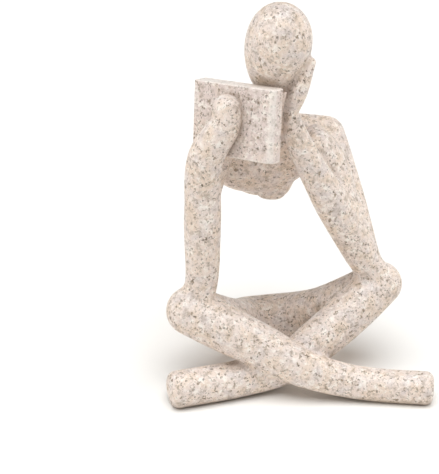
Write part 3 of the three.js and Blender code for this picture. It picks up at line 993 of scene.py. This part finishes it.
def sandstone(name, stone, base, offset, tinting=1.0, rubbed=False):
    """Speckled stone: clouds, mottles and sand, then blobs and specks of several colours.

    Specks lie thicker where the clumps are. Painted shade makes the creases between pieces a little
    browner, and the edges of the book are paler: partly rubbed, partly a painted highlight on the
    spine's corner and the top edge.
    """
    material = bpy.data.materials.new(name)
    material.use_nodes = True
    tree = material.node_tree
    shader = tree.nodes["Principled BSDF"]
    coords = jostled(tree, millimetres(tree, offset), 0.9)
    clouds = noise(tree, coords, 0.28, 1.5, 0.5)
    mottles = noise(tree, coords, 0.48, 2.0, 0.55)
    sand = noise(tree, coords, 1.9, 2.0, 0.6)
    clumps = noise(tree, coords, 0.55, 2.0, 0.6)
    thick = ranged(tree, clumps, 0.4, 0.6, 0.22, 0.9)
    thin = ranged(tree, clumps, 0.4, 0.6, 0.1, 0.6)
    layers = [
        (ranged(tree, clouds, 0.5, 0.62, 0.0, tinting), stone.warm),
        (ranged(tree, clouds, 0.46, 0.34, 0.0, tinting), stone.cool),
        (ranged(tree, mottles, 0.46, 0.3, 0.0, 0.5), stone.brown),
        (ranged(tree, mottles, 0.56, 0.7, 0.0, 0.6), stone.pale),
        (ranged(tree, sand, 0.58, 0.75, 0.0, 0.25), stone.pale),
        (ranged(tree, sand, 0.45, 0.25, 0.0, 0.2), stone.brown),
        (product(tree, blobs(tree, coords, 1.2, 0.58, 0.68), 0.45), stone.pale),
        (product(tree, blobs(tree, coords, 1.05, 0.43, 0.34), thick), stone.brown),
        (product(tree, blobs(tree, coords, 1.3, 0.37, 0.29), thick), stone.dark),
        (product(tree, blobs(tree, coords, 2.1, 0.37, 0.29), thin), stone.dark),
        (product(tree, grains(tree, coords, 1.6, 0.48, 0.35), thick), stone.dark),
    ]
    # The book's paler rubbed edges, which also paint a highlight on the spine's corner and the top
    # edge.
    if rubbed:
        layers.append((product(tree, rubbed_edges_and_highlight(tree), 0.42), stone.pale))
    # Painted shade: the creases between pieces turn browner where ambient occlusion finds them shut
    # in.
    layers.append((product(tree, painted_fold_shade(tree, 5.0), 0.55), stone.brown))
    colour = tuple(base)
    for share, over in layers:
        colour = mixed(tree, share, colour, tuple(over))
    tree.links.new(colour, shader.inputs["Base Color"])
    fine = noise(tree, coords, 4.0, 3.0, 0.6)
    rough = ranged(tree, fine, 0.3, 0.7, stone.roughness - 0.08, stone.roughness + 0.1)
    tree.links.new(rough, shader.inputs["Roughness"])
    shader.inputs["Specular IOR Level"].default_value = 0.6
    bump = tree.nodes.new("ShaderNodeBump")
    bump.inputs["Strength"].default_value = 0.35
    bump.inputs["Distance"].default_value = 0.05 * MM
    tree.links.new(fine, bump.inputs["Height"])
    tree.links.new(bump.outputs["Normal"], shader.inputs["Normal"])
    return material


def figure_stone(context):
    """The stone that all castings of the figure share; made once."""
    made = bpy.data.materials.get("speckled_stone")
    stone = context.scene.sandstone
    return made or sandstone("speckled_stone", stone, stone.base, (0, 0, 0))


def pin_steel():
    """Drawn steel rod, a little uneven in tone and gloss."""
    material = bpy.data.materials.new("pin_steel")
    material.use_nodes = True
    tree = material.node_tree
    shader = tree.nodes["Principled BSDF"]
    coords = millimetres(tree, (3.0, 1.0, 2.0))
    shader.inputs["Metallic"].default_value = 1.0
    fine = noise(tree, coords, 5.0, 4.0, 0.7)
    colour = mixed(tree, ranged(tree, fine, 0.35, 0.65), srgb(150, 150, 148), srgb(186, 186, 182))
    tree.links.new(colour, shader.inputs["Base Color"])
    tree.links.new(ranged(tree, fine, 0.3, 0.7, 0.28, 0.45), shader.inputs["Roughness"])
    return material


# Pieces.


def piece(name, verts, rows, normals, material, stands_for, material_slot):
    """A finished piece: a smooth skin, shut inside where it meets its neighbours."""
    points = list(map(tuple, (verts + frame_shift()) * MM))
    skin_count = len(rows)
    rows = [tuple(r) for r in rows]
    for loop in rim_loops([list(r) for r in rows]):
        middle = len(points)
        points.append(tuple(np.mean([points[i] for i in loop], axis=0)))
        rows += [(loop[k], loop[(k + 1) % len(loop)], middle) for k in range(len(loop))]
    mesh = bpy.data.meshes.new(name)
    mesh.from_pydata(points, [], rows)
    mesh.polygons.foreach_set("use_smooth", [True] * len(mesh.polygons))
    corner_normals = []
    for polygon in mesh.polygons:
        if polygon.index < skin_count:
            corner_normals += [tuple(normals[i]) for i in polygon.vertices]
        else:
            corner_normals += [tuple(polygon.normal)] * len(polygon.vertices)
    mesh.normals_split_custom_set(corner_normals)
    made = bpy.data.objects.new(name, mesh)
    bpy.context.collection.objects.link(made)
    mesh.materials.append(material)
    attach(made, BODY)
    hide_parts(stands_for)
    return made


def stone_pieces(context, *names):
    """Makes a stone piece of each casting named."""
    castings = cast_figure(context.scene.figurine_skin)
    missing = [name for name in names if name not in castings]
    if missing:
        raise RuntimeError(f"the skin holds no casting for {missing}")
    for name in names:
        piece(f"{name}_stone", *castings[name], figure_stone(context), name, "figure")


class FIGURINE_OT_head(bpy.types.Operator):
    """Makes the smooth, featureless head"""

    bl_idname = "figurine.head"
    bl_label = "Head"

    def execute(self, context):
        stone_pieces(context, "head")
        return {"FINISHED"}


class FIGURINE_OT_torso(bpy.types.Operator):
    """Makes the neck, shoulders and chest"""

    bl_idname = "figurine.torso"
    bl_label = "Torso"

    def execute(self, context):
        stone_pieces(context, "torso")
        return {"FINISHED"}


class FIGURINE_OT_arms(bpy.types.Operator):
    """Makes the arm that holds the book and the arm that holds the cheek"""

    bl_idname = "figurine.arms"
    bl_label = "Arms"

    def execute(self, context):
        stone_pieces(context, "right_arm", "left_arm")
        return {"FINISHED"}


class FIGURINE_OT_legs(bpy.types.Operator):
    """Makes the crossed legs and the seat between them"""

    bl_idname = "figurine.legs"
    bl_label = "Legs and Seat"

    def execute(self, context):
        stone_pieces(context, "right_leg", "left_leg", "seat")
        return {"FINISHED"}


class FIGURINE_OT_book(bpy.types.Operator):
    """Makes the closed book, a slab with a rounded spine and softened edges"""

    bl_idname = "figurine.book"
    bl_label = "Book"

    def execute(self, context):
        edge = context.scene.figurine_skin.book_edge
        radius = BOOK_SPINE_RADIUS
        outline = [(-BOOK_WIDTH, 0.0)]
        for middle, start in ((radius, -90), (BOOK_THICKNESS - radius, 0)):
            for step in range(BOOK_SPINE_STEPS + 1):
                turn = math.radians(start + step * 90 / BOOK_SPINE_STEPS)
                outline.append((-radius + radius * math.cos(turn), middle + radius * math.sin(turn)))
        outline.append((-BOOK_WIDTH, BOOK_THICKNESS))
        work = bmesh.new()
        rims = [[work.verts.new((x, y, z)) for x, y in outline] for z in (0.0, BOOK_HEIGHT)]
        count = len(outline)
        for k in range(count):
            n = (k + 1) % count
            work.faces.new((rims[0][k], rims[0][n], rims[1][n], rims[1][k]))
        work.faces.new(rims[0][::-1])
        work.faces.new(rims[1])
        work.normal_update()
        sharp = [e for e in work.edges if e.calc_face_angle() > math.radians(40)]
        bmesh.ops.bevel(
            work,
            geom=sharp,
            offset=edge,
            segments=4,
            profile=0.5,
            affect="EDGES",
            clamp_overlap=True,
        )
        work.transform(Matrix.Scale(MM, 4) @ Matrix.Translation(frame_shift()) @ book_place())
        mesh = bpy.data.meshes.new("book_slab")
        work.to_mesh(mesh)
        work.free()
        mesh.polygons.foreach_set("use_smooth", [True] * len(mesh.polygons))
        slab = bpy.data.objects.new("book_slab", mesh)
        context.collection.objects.link(slab)
        weighted = slab.modifiers.new("even_faces", "WEIGHTED_NORMAL")
        weighted.keep_sharp = True
        stone = context.scene.sandstone
        book_stone = sandstone("book_stone", stone, stone.book, (17.0, 5.0, 9.0), 0.4, True)
        mesh.materials.append(book_stone)
        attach(slab, BODY)
        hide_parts("book")
        return {"FINISHED"}


class FIGURINE_OT_pins(bpy.types.Operator):
    """Finishes the steel pins that hold the castings together"""

    bl_idname = "figurine.pins"
    bl_label = "Pins"

    def execute(self, context):
        if not PINS:
            raise RuntimeError("the packed model has no pins")
        steel = pin_steel()
        for name in PINS:
            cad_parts[name].data.materials.clear()
            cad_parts[name].data.materials.append(steel)
        return {"FINISHED"}


# Stage.


def broad_light(context, name, come_from, strength, colour):
    """A far, broad light, as soft as the sky through a large window."""
    lamp = bpy.data.lights.new(name, "SUN")
    lamp.color = colour
    lamp.angle = LIGHT_SPREAD
    lamp.energy = strength
    made = bpy.data.objects.new(name, lamp)
    context.collection.objects.link(made)
    made.location = come_from
    made.rotation_euler = Vector(come_from).to_track_quat("Z", "Y").to_euler()


def pale_paper(light_tone):
    """Matt paper, hardly uneven in tone."""
    material = bpy.data.materials.new("pale_floor")
    material.use_nodes = True
    tree = material.node_tree
    shader = tree.nodes["Principled BSDF"]
    shader.inputs["Roughness"].default_value = 0.9
    shader.inputs["Specular IOR Level"].default_value = 0.1
    tone = ranged(tree, noise(tree, millimetres(tree, (0, 0, 0)), 0.02, 2.0), 0.3, 0.7)
    dim_tone = tuple(c * 0.985 for c in light_tone)
    tree.links.new(mixed(tree, tone, dim_tone, tuple(light_tone)), shader.inputs["Base Color"])
    return material


def floor_sheet(context, material, sides=96, rim_steps=12):
    """A wide pale floor that curves up at its far rim, all round the figure."""
    run = [(0.15, 0.0), (0.5, 0.0), (1.5, 0.0), (3.0, 0.0), (FLOOR_BEND, 0.0)]
    for step in range(1, rim_steps + 1):
        turn = math.radians(step * 90 / rim_steps)
        out = FLOOR_BEND + FLOOR_RIM_RADIUS * math.sin(turn)
        run.append((out, FLOOR_RIM_RADIUS * (1 - math.cos(turn))))
    work = bmesh.new()
    middle = work.verts.new((0.0, 0.0, 0.0))
    ways = [2 * math.pi * k / sides for k in range(sides)]
    rings = []
    for out, up in run:
        rings.append([work.verts.new((out * math.cos(a), out * math.sin(a), up)) for a in ways])
    for k in range(sides):
        n = (k + 1) % sides
        work.faces.new((middle, rings[0][k], rings[0][n]))
        for inner, outer in zip(rings, rings[1:]):
            work.faces.new((inner[k], outer[k], outer[n], inner[n]))
    mesh = bpy.data.meshes.new("floor")
    work.to_mesh(mesh)
    work.free()
    mesh.polygons.foreach_set("use_smooth", [True] * len(mesh.polygons))
    floor = bpy.data.objects.new("floor", mesh)
    context.collection.objects.link(floor)
    mesh.materials.append(material)


def even_sky(context, strength):
    """White light from all round."""
    world = bpy.data.worlds.new("studio_sky")
    world.use_nodes = True
    sky = world.node_tree.nodes["Background"]
    sky.inputs["Color"].default_value = (1.0, 1.0, 1.0, 1.0)
    sky.inputs["Strength"].default_value = strength
    context.scene.world = world


def set_camera(context, studio):
    """Stands the camera round and above the point it looks at, level with the horizon."""
    side, height = studio.azimuth, studio.elevation
    out = math.cos(height)
    back = Vector((math.sin(side) * out, -math.cos(side) * out, math.sin(height)))
    lens = bpy.data.cameras.new("camera")
    lens.lens = studio.lens
    lens.sensor_width = SENSOR_WIDTH
    lens.clip_start = 0.01
    lens.clip_end = 60.0
    camera = bpy.data.objects.new("camera", lens)
    context.collection.objects.link(camera)
    camera.location = Vector(LOOK_AT) + back * studio.distance
    camera.rotation_euler = (-back).to_track_quat("-Z", "Y").to_euler()
    context.scene.camera = camera


class FIGURINE_OT_stage(bpy.types.Operator):
    """Lays the pale floor, hangs the soft lights and sets up the camera"""

    bl_idname = "figurine.stage"
    bl_label = "Stage"

    def execute(self, context):
        studio = context.scene.studio
        floor_sheet(context, pale_paper(studio.floor))
        broad_light(context, "key_light", KEY_FROM, studio.key, COOL_WHITE)
        broad_light(context, "left_side_light", LEFT_SIDE_FROM, studio.left_side, WARM_WHITE)
        broad_light(context, "right_side_light", RIGHT_SIDE_FROM, studio.right_side, WARM_WHITE)
        even_sky(context, studio.sky)
        context.scene.view_settings.view_transform = "Standard"
        set_camera(context, studio)
        return {"FINISHED"}


OPERATORS = (
    FIGURINE_OT_stage,
    FIGURINE_OT_head,
    FIGURINE_OT_torso,
    FIGURINE_OT_arms,
    FIGURINE_OT_legs,
    FIGURINE_OT_book,
    FIGURINE_OT_pins,
)


class FIGURINE_PT_sidebar(bpy.types.Panel):
    """Lists the steps that dress the figurine, and their settings"""

    bl_label = "Reading Figurine"
    bl_idname = "FIGURINE_PT_sidebar"
    bl_space_type = "VIEW_3D"
    bl_region_type = "UI"
    bl_category = "Figurine"

    def draw(self, context):
        for operator in OPERATORS:
            self.layout.operator(operator.bl_idname)
        scene = context.scene
        for settings in (scene.figurine_skin, scene.sandstone, scene.studio):
            box = self.layout.box()
            for name in settings.__annotations__:
                box.prop(settings, name)


CLASSES = (FigurineSkinSettings, SandstoneSettings, StudioSettings, *OPERATORS, FIGURINE_PT_sidebar)


def register():
    for cls in CLASSES:
        bpy.utils.register_class(cls)
    bpy.types.Scene.figurine_skin = PointerProperty(type=FigurineSkinSettings)
    bpy.types.Scene.sandstone = PointerProperty(type=SandstoneSettings)
    bpy.types.Scene.studio = PointerProperty(type=StudioSettings)


def unregister():
    del bpy.types.Scene.studio
    del bpy.types.Scene.sandstone
    del bpy.types.Scene.figurine_skin
    for cls in reversed(CLASSES):
        bpy.utils.unregister_class(cls)


def main():
    register()
    bpy.ops.figurine.stage()
    bpy.ops.figurine.head()
    bpy.ops.figurine.torso()
    bpy.ops.figurine.arms()
    bpy.ops.figurine.legs()
    bpy.ops.figurine.book()
    bpy.ops.figurine.pins()


if __name__ == "__main__":
    main()
